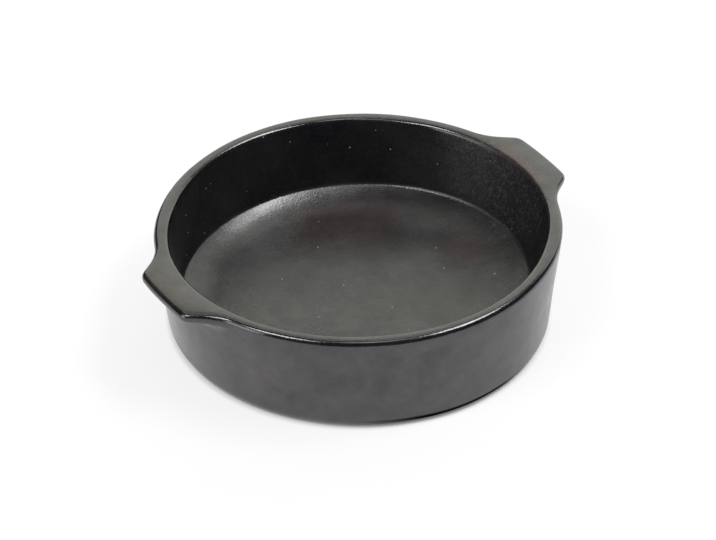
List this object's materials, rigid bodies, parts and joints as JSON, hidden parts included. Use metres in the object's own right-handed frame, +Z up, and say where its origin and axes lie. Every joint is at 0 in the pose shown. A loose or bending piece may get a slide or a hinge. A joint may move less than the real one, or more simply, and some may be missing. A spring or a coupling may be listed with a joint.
{
  "type": "baking dish",
  "caption": "Round low baking dish of burnished black clay, open on top, with a flat rim, an upright wall and a lug handle on each side flush with the rim.",
  "frame": {"origin": "middle of the flat underside", "axes": "+Z up through the open mouth, +X along the two lug handles"},
  "size_m": [0.2686, 0.237, 0.063],
  "materials": {
    "burnished_black_clay": "satin, stone-burnished and smoke-blackened"
  },
  "bodies": {
    "root": {"dish_body": "burnished_black_clay", "lug_handle_left": "burnished_black_clay", "lug_handle_right": "burnished_black_clay"}
  },
  "joints": []
}
